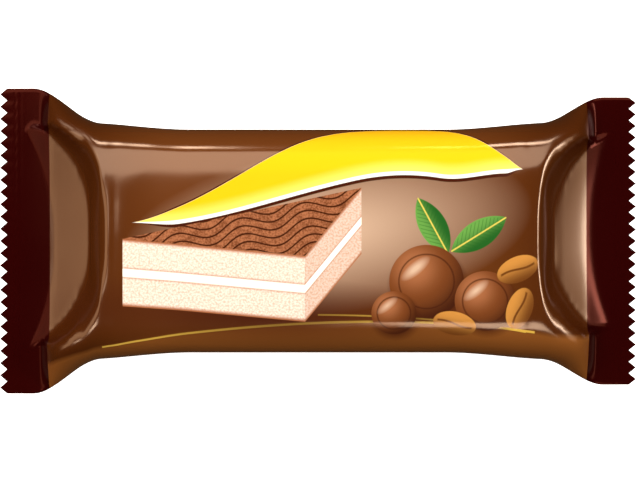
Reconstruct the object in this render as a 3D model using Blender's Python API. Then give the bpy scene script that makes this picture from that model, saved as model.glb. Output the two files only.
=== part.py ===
"""A snack cake in its closed film wrapper, lying on its back with the printed side up.

The wrapper is a tube of film drawn round a brick of cake, pressed flat across both ends and cut
there in a zigzag. It is shut, so it is one solid: a loft of sections that start as a rounded
rectangle round the cake and open out into the flat end seals.

Frame: X along the pack, Y across it, Z up. The origin is on the ground under the middle.
"""

import math

import bmesh
import bpy

MM = 0.001

# The pack, over everything
PACK_LENGTH = 150 * MM
PACK_HEIGHT = 27 * MM

# The cake inside sets the body: a rounded brick, a little slimmer at its waist
WAIST_HALF_WIDTH = 26.2 * MM
END_HALF_WIDTH = 27.9 * MM
WAIST_REACH, WAIST_END = 30 * MM, 56 * MM
EDGE_HEIGHT = 25.6 * MM
CORNER_RADIUS = 8.5 * MM
TOP_CROWN = PACK_HEIGHT - EDGE_HEIGHT

# The flat end seals
SEAL_LENGTH = 11.8 * MM
SEAL_START = PACK_LENGTH / 2 - SEAL_LENGTH
SEAL_THICKNESS = 0.8 * MM
SEAL_HEIGHT = 12.0 * MM
SEAL_DROOP = 0.6 * MM
LEFT_SEAL_HALF_WIDTH = 36.0 * MM
RIGHT_SEAL_HALF_WIDTH = 33.9 * MM
LEFT_SEAL_WAVE, LEFT_WAVE_PHASE = 0.5 * MM, 0.6
RIGHT_SEAL_WAVE, RIGHT_WAVE_PHASE = 1.3 * MM, 2.2
SEAL_WAVES = 1.5

# Crimp ribs pressed into the seals, and the zigzag that the knife leaves
RIB_COUNT = 6
RIB_DEPTH = 0.16 * MM
TOOTH_COUNT = 25
TOOTH_DEPTH = 1.7 * MM
RIB_MARGIN = 1.0 * MM
RIB_BAND = SEAL_LENGTH - TOOTH_DEPTH - RIB_MARGIN

# The shoulders: the film drops off the cake's end in a steep wall, whose foot bows out towards the
# corners, and runs on to the seal as a shallow ramp
WALL_FOOT = 55.5 * MM
WALL_RUN = 6.0 * MM
FOOT_BOW, FOOT_BOW_HALF_WIDTH = 4.0 * MM, 18.0 * MM
RAMP_SLOPE = 0.5

# Seen from above, the film flares there from the body's width to the seal's
FLARE_START = 51.0 * MM
FLARE_END = SEAL_START + 4.5 * MM
RIGHT_FLARE_DELAY = 1.5 * MM

# Shallow folds on the shoulders, of two widths laid over each other
FOLD_START = 47.0 * MM
FOLD_REACH = 15.0 * MM
FOLD_DEPTH = 0.45 * MM
FOLD_PITCH, FOLD_SHIFT = 13.0 * MM, 0.7
WIDE_FOLD_PITCH, WIDE_FOLD_SHIFT = 22.0 * MM, 1.1
WIDE_FOLD_SHARE = 0.5

# Soft hollows in the slack film at the top's corners: middle along X, middle along Y, radius
DENT_DEPTH = 0.45 * MM
DENTS = [
    (-40 * MM, 15 * MM, 9 * MM),
    (-38 * MM, -14 * MM, 8 * MM),
    (42 * MM, 16 * MM, 8 * MM),
    (36 * MM, -17 * MM, 9 * MM),
]

# The long seam down the back, folded flat against the cake
SEAM_WIDTH = 10.0 * MM
SEAM_LENGTH = 94.0 * MM
SEAM_GROOVE = 0.5 * MM

# How finely the loft is cut, and what counts as one point
HALF_SECTION_STEPS = 32
BODY_STATIONS = 12
SHOULDER_STATIONS = 12
SHOULDER_START = WALL_FOOT - WALL_RUN - 1.0 * MM
END_ALLOWANCE = 1.0 * MM
WELD_DISTANCE = 0.001 * MM

FILM_COLOUR = (0.13, 0.045, 0.012, 1.0)
FILM_ROUGHNESS = 0.2
SHARP_ANGLE = math.radians(40)


def smooth(value, start, end):
    """0 before start, 1 after end, and an easy curve between them."""
    share = min(1.0, max(0.0, (value - start) / (end - start)))
    return share * share * (3 - 2 * share)


def mix(a, b, share):
    return a + (b - a) * share


def clear_scene():
    for obj in list(bpy.data.objects):
        bpy.data.objects.remove(obj, do_unlink=True)


def new_collection(name, hidden=False):
    collection = bpy.data.collections.new(name)
    bpy.context.scene.collection.children.link(collection)
    collection.hide_render = hidden
    return collection


def film_material():
    material = bpy.data.materials.new("printed_film")
    material.use_nodes = True
    shader = material.node_tree.nodes["Principled BSDF"]
    shader.inputs["Base Color"].default_value = FILM_COLOUR
    shader.inputs["Roughness"].default_value = FILM_ROUGHNESS
    shader.inputs["Metallic"].default_value = 0.0
    return material


def brick_point(share, half_width):
    """A point of the body's section, share of the way round from the top middle to the bottom
    middle. Half way is the middle of the side wall. Returns y and z."""
    middle = EDGE_HEIGHT / 2
    flat = half_width - CORNER_RADIUS
    wall = middle - CORNER_RADIUS
    arc = math.pi / 2 * CORNER_RADIUS
    below = share > 0.5
    run = (1 - share if below else share) * 2 * (flat + arc + wall)
    if run < flat:
        y, z = run, middle
    elif run < flat + arc:
        turn = (run - flat) / CORNER_RADIUS
        y = flat + CORNER_RADIUS * math.sin(turn)
        z = wall + CORNER_RADIUS * math.cos(turn)
    else:
        y, z = half_width, flat + arc + wall - run
    if below:
        return y, middle - z
    crown = TOP_CROWN * (1 - (y / half_width) ** 2) * smooth(z, 0, middle)
    return y, middle + z + crown


def seal_point(share, half_width):
    """The same place on a flat seal: its upper face from the middle to the corner, then its lower
    face back to the middle. Returns y and the height over the seal's middle plane."""
    below = share > 0.5
    y = half_width * 2 * (1 - share if below else share)
    if share == 0.5:
        return y, 0.0
    return y, (-1 if below else 1) * SEAL_THICKNESS / 2


def seal_wave(x, y):
    """How far a seal's middle plane is lifted, from its droop and from its slight waviness."""
    past = max(0.0, (abs(x) - SEAL_START) / SEAL_LENGTH)
    depth, phase = (LEFT_SEAL_WAVE, LEFT_WAVE_PHASE) if x < 0 else (RIGHT_SEAL_WAVE, RIGHT_WAVE_PHASE)
    wave = depth * math.sin(SEAL_WAVES * math.pi * y / LEFT_SEAL_HALF_WIDTH + phase)
    return wave - SEAL_DROOP * past**2


def rib(x):
    """The crimp ribs run across the pack, along the seal."""
    past = abs(x) - SEAL_START
    if not 0 < past < RIB_BAND:
        return 0.0
    return RIB_DEPTH * math.sin(2 * math.pi * RIB_COUNT * past / RIB_BAND)


def wall_foot(y):
    """How far out the end wall meets the ramp, at y."""
    return min(SEAL_START, WALL_FOOT + FOOT_BOW * (abs(y) / FOOT_BOW_HALF_WIDTH) ** 3)


def ramp_rise(x, y, half_width):
    """How far the ramp opens from the seal's middle plane, up or down: nothing at the corners."""
    run = max(0.0, SEAL_START - abs(x))
    return RAMP_SLOPE * run * (1 - min(1.0, abs(y) / half_width) ** 6)


def shoulder_fold(x, y):
    """Shallow folds that fan from the cake's end down the shoulder, deepest half way."""
    along = (abs(x) - (FOLD_START + FOLD_REACH / 2)) / (FOLD_REACH / 2)
    if abs(along) >= 1:
        return 0.0
    side = -1 if x < 0 else 1
    swell = math.cos(math.pi / 2 * along) ** 2
    narrow = math.cos(2 * math.pi * y / FOLD_PITCH + FOLD_SHIFT * side)
    wide = math.cos(2 * math.pi * y / WIDE_FOLD_PITCH - WIDE_FOLD_SHIFT * side)
    return FOLD_DEPTH * swell * (narrow + WIDE_FOLD_SHARE * wide)


def top_dents(x, y):
    """Depth of the soft hollows, where the slack film dips between the top and the shoulders."""
    hollow = 0.0
    for centre_x, centre_y, radius in DENTS:
        away = math.hypot(x - centre_x, y - centre_y) / radius
        hollow += math.exp(-away * away)
    return DENT_DEPTH * hollow


def section(x):
    """The closed ring of points round the pack at x, from the top middle round by +Y."""
    reach = abs(x)
    delay = 0.0 if x < 0 else RIGHT_FLARE_DELAY
    seal_half = LEFT_SEAL_HALF_WIDTH if x < 0 else RIGHT_SEAL_HALF_WIDTH
    body_half = mix(WAIST_HALF_WIDTH, END_HALF_WIDTH, smooth(reach, WAIST_REACH, WAIST_END))
    out = smooth(reach, FLARE_START + delay, FLARE_END)
    ring = []
    for step in range(2 * HALF_SECTION_STEPS):
        half = step / HALF_SECTION_STEPS
        share = half if half <= 1 else 2 - half
        side = 1 if half <= 1 else -1
        body_y, body_z = brick_point(share, body_half)
        flat_y, layer = seal_point(share, seal_half)
        y = side * mix(body_y, flat_y, out)
        down = smooth(reach, wall_foot(y) - WALL_RUN, wall_foot(y))
        opening = math.copysign(ramp_rise(x, y, seal_half), layer) if layer else 0.0
        end_z = SEAL_HEIGHT + layer + opening + seal_wave(x, y) + rib(x)
        z = mix(body_z, end_z, down)
        if share < 0.5:
            z += shoulder_fold(x, y) * math.sin(math.pi * (0.5 - share)) - top_dents(x, y)
        ring.append((x, y, z))
    return ring


def stations():
    """Where the sections stand along X: even on the cake, closer on the shoulders and ribs."""
    body = [SHOULDER_START * (2 * i / BODY_STATIONS - 1) for i in range(BODY_STATIONS + 1)]
    slope = [
        mix(SHOULDER_START, SEAL_START, i / SHOULDER_STATIONS)
        for i in range(1, SHOULDER_STATIONS + 1)
    ]
    crests = [SEAL_START + RIB_BAND * (i + 0.5) / (2 * RIB_COUNT) for i in range(2 * RIB_COUNT)]
    end = slope + crests + [SEAL_START + RIB_BAND, PACK_LENGTH / 2 + END_ALLOWANCE]
    return [-x for x in reversed(end)] + body + end


def make_pack(collection, material):
    mesh = bpy.data.meshes.new("cake_pack")
    shape = bmesh.new()
    rings = [[shape.verts.new(point) for point in section(x)] for x in stations()]
    around = 2 * HALF_SECTION_STEPS
    for near, far in zip(rings, rings[1:]):
        for i in range(around):
            j = (i + 1) % around
            shape.faces.new((near[i], far[i], far[j], near[j]))
    for ring in (rings[0], rings[-1]):
        close_end(shape, ring)
    # The shorter diagonals follow the bowed foot of the wall
    bmesh.ops.triangulate(shape, faces=shape.faces, quad_method="SHORT_EDGE")
    bmesh.ops.recalc_face_normals(shape, faces=shape.faces)
    shape.to_mesh(mesh)
    shape.free()
    mesh.materials.append(material)
    pack = bpy.data.objects.new("cake_pack", mesh)
    collection.objects.link(pack)
    return pack


def close_end(shape, ring):
    """Closes a seal's end by joining each point of its upper face to the one below it."""
    count = len(ring)
    quarter = count // 4
    upper = [ring[(quarter - i) % count] for i in range(count // 2 + 1)]
    lower = [ring[(quarter + i) % count] for i in range(count // 2 + 1)]
    for i in range(count // 2):
        corners = [upper[i], upper[i + 1], lower[i + 1], lower[i]]
        shape.faces.new(dict.fromkeys(corners))


def make_zigzag_cutter(collection, side):
    """A block past one end whose near edge is the knife's zigzag. side is -1 left, 1 right."""
    pitch = 2 * LEFT_SEAL_HALF_WIDTH / TOOTH_COUNT
    tip, valley = side * PACK_LENGTH / 2, side * (PACK_LENGTH / 2 - TOOTH_DEPTH)
    far = side * (PACK_LENGTH / 2 + 2 * END_ALLOWANCE + pitch)
    outline = []
    for tooth in range(-1, TOOTH_COUNT + 2):
        y = -LEFT_SEAL_HALF_WIDTH + tooth * pitch
        outline += [(tip, y), (valley, y + pitch / 2)]
    outline += [(far, outline[-1][1]), (far, outline[0][1])]
    curve = bpy.data.curves.new("zigzag", "CURVE")
    curve.dimensions = "2D"
    curve.fill_mode = "BOTH"
    curve.extrude = PACK_HEIGHT
    spline = curve.splines.new("POLY")
    spline.points.add(len(outline) - 1)
    for point, (x, y) in zip(spline.points, outline):
        point.co = (x, y, 0, 1)
    spline.use_cyclic_u = True
    flat = bpy.data.objects.new("zigzag_outline", curve)
    collection.objects.link(flat)
    bpy.context.view_layer.update()
    graph = bpy.context.evaluated_depsgraph_get()
    mesh = bpy.data.meshes.new_from_object(flat.evaluated_get(graph))
    bpy.data.objects.remove(flat)
    weld(mesh)
    link_cutter(collection, "zigzag_right" if side > 0 else "zigzag_left", mesh)


def weld(mesh):
    shape = bmesh.new()
    shape.from_mesh(mesh)
    bmesh.ops.remove_doubles(shape, verts=shape.verts, dist=WELD_DISTANCE)
    bmesh.ops.recalc_face_normals(shape, faces=shape.faces)
    shape.to_mesh(mesh)
    shape.free()


def make_seam_cutter(collection, name, y):
    """A slim bar that cuts one edge of the folded back seam into the underside."""
    shape = bmesh.new()
    bmesh.ops.create_cube(shape, size=1.0)
    bmesh.ops.scale(shape, vec=(SEAM_LENGTH, SEAM_GROOVE, 2 * SEAM_GROOVE), verts=shape.verts)
    bmesh.ops.translate(shape, vec=(0, y, 0), verts=shape.verts)
    mesh = bpy.data.meshes.new(name)
    shape.to_mesh(mesh)
    shape.free()
    link_cutter(collection, name, mesh)


def link_cutter(collection, name, mesh):
    cutter = bpy.data.objects.new(name, mesh)
    cutter.hide_render = True
    cutter.display_type = "WIRE"
    collection.objects.link(cutter)


def cut(pack, cutters):
    boolean = pack.modifiers.new("cuts", "BOOLEAN")
    boolean.operation = "DIFFERENCE"
    boolean.operand_type = "COLLECTION"
    boolean.collection = cutters
    boolean.solver = "EXACT"


def main():
    clear_scene()
    pack_parts = new_collection("wrapped_snack_cake")
    cutters = new_collection("cutters", hidden=True)
    pack = make_pack(pack_parts, film_material())
    for side in (-1, 1):
        make_zigzag_cutter(cutters, side)
    make_seam_cutter(cutters, "seam_fold", -SEAM_WIDTH / 2)
    make_seam_cutter(cutters, "seam_edge", SEAM_WIDTH / 2)
    cut(pack, cutters)
    pack.data.shade_smooth()
    pack.data.set_sharp_from_angle(angle=SHARP_ANGLE)


main()
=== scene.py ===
# %% [markdown]
# A snack cake in its film wrapper. The real object is a soft cake in a tube of printed plastic
# film. A machine folds the film round the cake, joins it in a seam down the back, presses it flat
# across both ends between hot crimping jaws and cuts it there with a zigzag knife. This lesson
# dresses the packed solid of such a pack: it takes its size from the frame and lays a simulated
# film over it.

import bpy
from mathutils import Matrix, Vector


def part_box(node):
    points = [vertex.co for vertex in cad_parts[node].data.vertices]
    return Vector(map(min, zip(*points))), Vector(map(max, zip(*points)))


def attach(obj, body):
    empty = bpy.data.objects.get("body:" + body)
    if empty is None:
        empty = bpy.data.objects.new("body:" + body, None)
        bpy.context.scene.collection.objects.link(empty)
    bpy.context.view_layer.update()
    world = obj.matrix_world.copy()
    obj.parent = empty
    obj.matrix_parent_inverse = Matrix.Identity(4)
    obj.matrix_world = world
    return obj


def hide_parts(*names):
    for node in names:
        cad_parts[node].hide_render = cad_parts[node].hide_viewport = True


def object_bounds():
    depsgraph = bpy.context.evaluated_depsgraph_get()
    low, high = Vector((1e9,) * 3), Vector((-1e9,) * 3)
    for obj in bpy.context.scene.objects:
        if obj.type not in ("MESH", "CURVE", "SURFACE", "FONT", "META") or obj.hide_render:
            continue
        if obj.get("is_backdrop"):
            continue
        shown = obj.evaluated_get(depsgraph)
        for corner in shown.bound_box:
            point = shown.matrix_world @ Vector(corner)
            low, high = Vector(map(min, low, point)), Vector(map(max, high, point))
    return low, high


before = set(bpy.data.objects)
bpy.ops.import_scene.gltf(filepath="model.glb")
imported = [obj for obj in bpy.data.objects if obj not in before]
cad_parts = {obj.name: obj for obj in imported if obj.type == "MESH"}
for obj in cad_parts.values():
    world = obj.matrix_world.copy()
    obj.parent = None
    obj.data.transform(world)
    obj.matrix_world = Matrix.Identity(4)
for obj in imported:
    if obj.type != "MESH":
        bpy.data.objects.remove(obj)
cad_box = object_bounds()
print("nodes in the frame:", len(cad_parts))

# %% [markdown]
# Everything is in metres, as the frame is, and MM turns a size in millimetres into them. The
# solid's box gives the pack's length and height, so the film always fits the solid.

# %% The other modules, and the pack's own size
import math

import bmesh
import bpy
import numpy as np
from mathutils import Vector

MM = 0.001

pack_low, pack_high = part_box("cake_pack")
HALF_LENGTH = (pack_high.x - pack_low.x) / 2
PACK_HEIGHT = pack_high.z - pack_low.z
print(f"pack {2 * HALF_LENGTH / MM:.1f} mm long, {PACK_HEIGHT / MM:.1f} mm high")

# %% [markdown]
# The driving sizes. The seals are the flat ends. The cake fills the body between them, which is a
# little slimmer at its waist, where the film is drawn in. A film tube keeps its girth: pressed flat
# it is as wide as the left seal. The right seal is puckered a little, so it is narrower. Where the
# two ends differ, a size is a pair, for the left end and for the right one.

# %% Sizes of the body and the seals
FILM_HALF_WIDTH = 36.0 * MM
GIRTH = 4 * FILM_HALF_WIDTH
SEAL_HALF_WIDTH = (FILM_HALF_WIDTH, 33.9 * MM)
SEAL_LENGTH = 11.8 * MM
SEAL_START = HALF_LENGTH - SEAL_LENGTH
SEAL_HEIGHT = 12.0 * MM
SEAL_THICKNESS = 0.4 * MM
SEAL_DROOP = 0.1 * MM
SEAL_WAVE, SEAL_WAVE_PHASE = (0.05 * MM, 0.15 * MM), (0.6, 2.2)
SEAL_WAVES = 1.5
WAIST_HALF_WIDTH, END_HALF_WIDTH = 26.2 * MM, 27.9 * MM
WIDENS_FROM, WIDENS_TO = 30 * MM, 56 * MM
FLARE_START, FLARE_DELAY, FLARE_PAST_SEAL = 51 * MM, (0.0, 1.5 * MM), 4 * MM
EDGE_HEIGHT = 25.6 * MM
CORNER_RADIUS = 8.5 * MM
CROWN = 1.4 * MM
print(f"film tube {GIRTH / MM:.0f} mm round, body {2 * WAIST_HALF_WIDTH / MM:.1f} mm wide at its waist")

# %% [markdown]
# At each end of the cake the film falls in a steep wall, and from the wall's foot a ramp runs on to
# the flat seal. Seen from above, the foot and the ramp's end are both bows, which open towards the
# seal near the pack's sides. Their shapes are formulas of y, the distance from the pack's middle.

# %% Sizes of the two ends
WALL_TOP, WALL_FOOT = 50.0 * MM, 54.3 * MM
WALL_LENGTH, RAMP_LENGTH = 9.9 * MM, 10.0 * MM
FILM_SEAL_START = WALL_TOP + WALL_LENGTH + RAMP_LENGTH
FILM_HALF_LENGTH = FILM_SEAL_START + SEAL_LENGTH
FOOT_PLACE, FOOT_MIDDLE = (52.4 * MM, 54.1 * MM), (1.5 * MM, 1.0 * MM)
FOOT_BOW, FOOT_BOW_REACH, FOOT_BOW_POWER = (4.5 * MM, 6.5 * MM), (19.5 * MM, 19.8 * MM), 4
FOOT_PAST_SEAL = 1.5 * MM
WALL_BEFORE_FOOT, WALL_PAST_FOOT = 3.4 * MM, 0.9 * MM
HELD_FROM, HELD_TO = 0.2 * MM, 2.4 * MM
RAMP_PLACE, RAMP_MIDDLE = (62.9 * MM, 66.0 * MM), (-0.5 * MM, 3.0 * MM)
RAMP_BOW, RAMP_BOW_REACH, RAMP_BOW_POWER = (6.6 * MM, 4.8 * MM), (26.5 * MM, 23.4 * MM), (2.4, 2.2)
TURN_BACK_PLACE, TURN_BACK_SLOPE, TURN_BACK_BLEND = 70.0 * MM, 30.0 * MM, 1.0 * MM
RAMP_SLOPE, RAMP_BEND, RAMP_RUN = (0.50, 0.67), (0.6 * MM, 4.0 * MM), 11 * MM
PLEAT_HALF_WIDTH, PLEAT_FROM, PLEAT_TO = 2.0 * MM, 15 * MM, 20 * MM
EDGE_POWER = 6
print(f"film {2 * FILM_HALF_LENGTH / MM:.1f} mm long when it lies flat")


# %% Helpers for shapes
def smooth(value, low, high):
    """0 below low, 1 above high, and an easy curve between them."""
    share = np.clip((value - low) / (high - low), 0.0, 1.0)
    return share * share * (3.0 - 2.0 * share)


def mix(a, b, share):
    return a + (b - a) * share


def at_end(x, pair):
    """The left end's size where x is negative, and the right end's elsewhere."""
    return np.where(x < 0, pair[0], pair[1])


print("halfway, by the easy curve:", smooth(0.5, 0.0, 1.0))

# %% [markdown]
# The film starts as a grid of points: rows along the tube, columns round it. Every point is known
# by its place on the film, so the print can follow it later. A loft gives the starting shape, from
# a rounded brick in the middle to the flat seals. It could be the whole shape too, but it would
# look like moulded plastic, with none of the creases of a thin film.


# %% The body's section and the seals
def brick_section(share, side, half_width):
    """The body's section, share of the way from the top middle to the bottom middle."""
    middle = EDGE_HEIGHT / 2
    flat, wall = half_width - CORNER_RADIUS, middle - CORNER_RADIUS
    arc = math.pi / 2 * CORNER_RADIUS
    run = np.minimum(share, 1 - share) * 2 * (flat + arc + wall)
    turn = np.clip((run - flat) / CORNER_RADIUS, 0.0, math.pi / 2)
    y = np.minimum(run, flat) + CORNER_RADIUS * np.sin(turn)
    z = wall + CORNER_RADIUS * np.cos(turn) - np.maximum(run - flat - arc, 0.0)
    crowned = z + CROWN * (1 - (y / half_width) ** 2) * smooth(z, 0.0, middle)
    return side * y, middle + np.where(share > 0.5, -z, crowned)


def seal_wave(x, y):
    """How far a seal's middle plane is lifted, by its droop and its slight waves."""
    past = np.maximum(0.0, (np.abs(x) - SEAL_START) / SEAL_LENGTH)
    wave = np.sin(SEAL_WAVES * math.pi * y / FILM_HALF_WIDTH + at_end(x, SEAL_WAVE_PHASE))
    return at_end(x, SEAL_WAVE) * wave - SEAL_DROOP * past**2


def plan_place(film_x):
    """Where a row of the film lies along the pack in the loft."""
    on_film = [0, WALL_TOP, WALL_TOP + WALL_LENGTH, FILM_SEAL_START, FILM_HALF_LENGTH]
    on_plan = [0, WALL_TOP, WALL_FOOT, SEAL_START, HALF_LENGTH]
    return np.sign(film_x) * np.interp(np.abs(film_x), on_film, on_plan)


print(f"the film's seal starts {plan_place(FILM_SEAL_START) / MM:.1f} mm from the pack's middle")


# %% The wall's foot and the ramp
def foot_place(x, y):
    """Where the end wall meets the ramp: the line runs out across the seal near the corners."""
    off = np.abs(y - at_end(x, FOOT_MIDDLE)) / at_end(x, FOOT_BOW_REACH)
    return at_end(x, FOOT_PLACE) + at_end(x, FOOT_BOW) * off**FOOT_BOW_POWER


def ramp_end(x, y):
    """Where the ramp meets the flat seal: a bow, which turns back just before the corners."""
    off = np.abs(y - at_end(x, RAMP_MIDDLE)) / at_end(x, RAMP_BOW_REACH)
    bow = at_end(x, RAMP_PLACE) + at_end(x, RAMP_BOW) * off ** at_end(x, RAMP_BOW_POWER)
    turn_back = TURN_BACK_PLACE - TURN_BACK_SLOPE * (off - 1)
    gap = bow - turn_back
    return turn_back + (gap - np.sqrt(gap**2 + TURN_BACK_BLEND**2)) / 2


def ramp_rise(x, y, flat_share):
    """Height of the ramp above the seal's plane: it bends up, then keeps its slope. Off to its
    sides, past the line of the wall's foot, it falls back to the plane in a short pleat."""
    bend = at_end(x, RAMP_BEND)
    run = np.clip(ramp_end(x, y) - np.abs(x), 0.0, RAMP_RUN)
    pleat = smooth(np.abs(x) - foot_place(x, y), -PLEAT_HALF_WIDTH, PLEAT_HALF_WIDTH)
    beside = smooth(np.abs(y), PLEAT_FROM, PLEAT_TO)
    rise = at_end(x, RAMP_SLOPE) * (np.sqrt(run**2 + bend**2) - bend)
    return rise * mix(1.0, pleat, beside) * (1 - flat_share**EDGE_POWER)


left_foot, right_foot = (float(foot_place(x, 0.0)) for x in (-1.0, 1.0))
print(f"the walls' feet lie {left_foot / MM:.1f} and {right_foot / MM:.1f} mm from the middle")

# %% [markdown]
# The loft puts these together. For each point it also gives its place on the same film laid out as
# a flat tube, which is the film's rest shape, and how firmly the seal holds it.

# %% The starting shape, as a loft
SIM_ROWS, SIM_COLUMNS = 115, 100


def loft(film_x, columns):
    """Points of the loft and of the flat tube at the rows film_x, and how still each is held."""
    film_x = film_x[:, None]
    turn = np.arange(columns)[None, :] / columns * 2
    share, side = np.where(turn <= 1, turn, 2 - turn), np.where(turn <= 1, 1.0, -1.0)
    x = plan_place(film_x)
    reach = np.abs(x)
    delay = at_end(x, FLARE_DELAY)
    half = mix(WAIST_HALF_WIDTH, END_HALF_WIDTH, smooth(reach, WIDENS_FROM, WIDENS_TO))
    out = smooth(reach - delay, FLARE_START, SEAL_START + FLARE_PAST_SEAL - delay)
    body_y, body_z = brick_section(share, side, half)
    flat_share = 2 * np.minimum(share, 1 - share) * side
    upper = np.sign(0.5 - share)
    y = mix(body_y, at_end(x, SEAL_HALF_WIDTH) * flat_share, out)
    foot = np.minimum(foot_place(x, y), SEAL_START + FOOT_PAST_SEAL)
    down = smooth(reach, foot - WALL_BEFORE_FOOT, foot + WALL_PAST_FOOT)
    end_z = SEAL_HEIGHT + upper * (SEAL_THICKNESS / 2 + ramp_rise(x, y, flat_share))
    sealed = smooth(reach, WALL_FOOT, SEAL_START)
    z = mix(body_z, end_z, down) + seal_wave(x, y) * sealed
    start = np.stack([x + 0 * y, y, z], axis=-1)
    tube = [film_x + 0 * y, FILM_HALF_WIDTH * flat_share + 0 * y, 0 * y + end_z[-1]]
    return start, np.stack(tube, axis=-1), smooth(reach, foot + HELD_FROM, foot + HELD_TO)


sim_rows = np.linspace(-FILM_HALF_LENGTH, FILM_HALF_LENGTH, SIM_ROWS)
start_shape, flat_tube, held_still = loft(sim_rows, SIM_COLUMNS)
print("starting loft:", SIM_ROWS, "rows of", SIM_COLUMNS, "points")


# %% Helpers for meshes
def grid_faces(rows, columns, tube=True):
    """Quads of a grid of points, row after row. A tube's last column joins its first."""
    near = np.arange(rows - 1)[:, None] * columns
    this = np.arange(columns if tube else columns - 1)[None, :]
    after = (this + 1) % columns
    quads = [near + this, near + columns + this, near + columns + after, near + after]
    return np.stack(quads, axis=-1).reshape(-1, 4).tolist()


def add_object(name, points, faces):
    mesh = bpy.data.meshes.new(name)
    mesh.from_pydata(np.asarray(points).reshape(-1, 3).tolist(), [], faces)
    mesh.update()
    made = bpy.data.objects.new(name, mesh)
    bpy.context.scene.collection.objects.link(made)
    return made


print("faces of the simulated film:", len(grid_faces(SIM_ROWS, SIM_COLUMNS)))

# %% [markdown]
# A cloth simulation then turns the loft into film. The seals are pinned, soft pins hold the body
# as the cake inside does, and a little air pressure fills the pack, as the gas that it is flushed
# with does. The film's rest shape is the flat tube, so it can't stretch, and the creases at the
# shoulders, where the pins let go, come from the girth that the cake doesn't need. A solid cake
# for the film to touch would do too, but contacts are worked out in no fixed order, so each run
# would crease the film a little differently. The cloth solver is made for things of a metre or
# so, so all of it runs at twenty times the real size.

# %% Run the film simulation
SIM_SCALE = 20.0
SIM_FRAMES = 22
BODY_HOLD, SHOULDER_HOLD = 0.5, 0.02
HOLD_FADE_START, HOLD_FADE_END = 34.0 * MM, 48.0 * MM
AIR_PRESSURE = 2.4
FILM_STRETCH, FILM_BEND = 60.0, 10.0


def set_up_film(modifier, rest):
    film = modifier.settings
    film.quality = 8
    film.mass = 0.15
    film.tension_stiffness = film.compression_stiffness = FILM_STRETCH
    film.shear_stiffness = FILM_STRETCH / 2
    film.bending_stiffness = FILM_BEND
    film.tension_damping = film.compression_damping = film.shear_damping = 5.0
    film.bending_damping = 0.5
    film.air_damping = 2.0
    film.vertex_group_mass = "held"
    film.pin_stiffness = 5.0
    film.rest_shape_key = rest
    film.use_pressure = True
    film.uniform_pressure_force = AIR_PRESSURE
    film.effector_weights.gravity = 0.0
    modifier.collision_settings.use_collision = False
    modifier.collision_settings.use_self_collision = False
    modifier.point_cache.frame_end = SIM_FRAMES


def simulate_film():
    film = add_object("film_sim", start_shape * SIM_SCALE, grid_faces(SIM_ROWS, SIM_COLUMNS))
    film.shape_key_add(name="Basis")
    rest = film.shape_key_add(name="flat tube")
    rest.data.foreach_set("co", (flat_tube * SIM_SCALE).astype(np.float32).ravel())
    rest.value = 0.0
    held = film.vertex_groups.new(name="held")
    let_go = smooth(np.abs(start_shape[..., 0]), HOLD_FADE_START, HOLD_FADE_END)
    hold = np.where(held_still > 0.5, 1.0, mix(BODY_HOLD, SHOULDER_HOLD, let_go))
    for point, weight in enumerate(hold.ravel().tolist()):
        held.add([point], weight, "REPLACE")
    set_up_film(film.modifiers.new("film", "CLOTH"), rest)
    for moment in range(1, SIM_FRAMES + 1):
        bpy.context.scene.frame_set(moment)
    graph = bpy.context.evaluated_depsgraph_get()
    settled = np.zeros(SIM_ROWS * SIM_COLUMNS * 3)
    film.evaluated_get(graph).data.vertices.foreach_get("co", settled)
    bpy.data.objects.remove(film, do_unlink=True)
    bpy.context.scene.frame_set(1)
    return settled.reshape(SIM_ROWS, SIM_COLUMNS, 3) / SIM_SCALE


settled_film = simulate_film()
print(f"settled film: {settled_film[..., 2].max() / MM:.1f} mm high before fitting")

# %% [markdown]
# The simulated film is fitted to the pack: its height and the width of every row are brought to
# the solid's, and what sank below the table is laid on it. The finest ripples are the grid's own,
# so they are eased, round the tube and along it. The fold over each end of the cake is crisp, so
# there they are eased round the tube alone.

# %% Fit the film to the pack
BOTTOM_HEIGHT, BOTTOM_EASE = 0.36 * MM, 0.5 * MM
EASE_PASSES, FOLD_EASE_PASSES = 6, 10
RIPPLE_KEPT, FOLD_RIPPLE_KEPT = 0.30, 0.10
FOLD_RISE, FOLD_FALL = (46 * MM, 50 * MM), (54 * MM, 57 * MM)


def blurred(points, passes, lengthwise=0.5):
    """Eases each point towards its neighbours, round the tube and along it."""
    for _ in range(passes):
        around = (np.roll(points, 1, axis=1) + np.roll(points, -1, axis=1)) / 2
        points = mix(points, around, 0.5)
        inner = mix(points[1:-1], (points[:-2] + points[2:]) / 2, lengthwise)
        points = np.concatenate([points[:1], inner, points[-1:]])
    return points


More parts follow.
